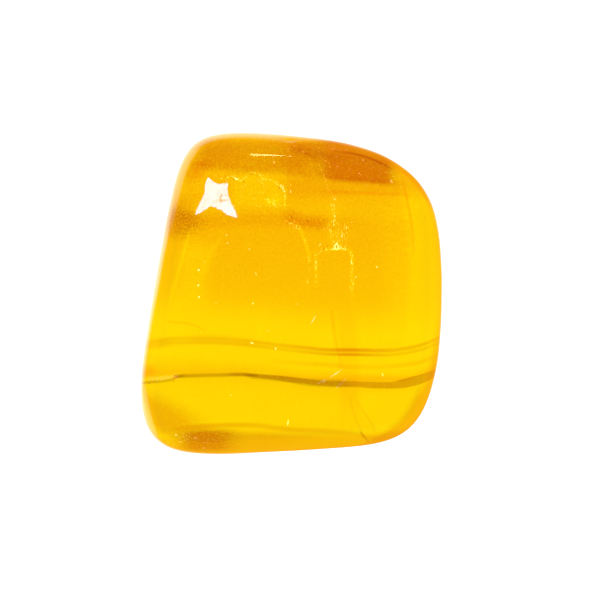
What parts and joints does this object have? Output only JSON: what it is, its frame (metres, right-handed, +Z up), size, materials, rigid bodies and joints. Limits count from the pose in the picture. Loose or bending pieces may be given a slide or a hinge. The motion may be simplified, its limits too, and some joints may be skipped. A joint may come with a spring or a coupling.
{
  "type": "tumbled fluorite",
  "caption": "See-through honey-yellow fluorite pebble, tumbled smooth from a squarish block, with a flat face to rest on.",
  "frame": {"origin": "under the middle of the stone's outline, on the flat bed face that it rests on", "axes": "+Y along the stone's longest way, from its broad lower side to its narrower upper side; +Z up through its thickness, from the bed face to the front face; +X completes the set"},
  "size_m": [0.028, 0.03, 0.0171],
  "materials": {
    "fluorite": "tumbled polish, see-through honey yellow with darker growth bands"
  },
  "bodies": {
    "root": {"fluorite": "fluorite"}
  },
  "joints": []
}
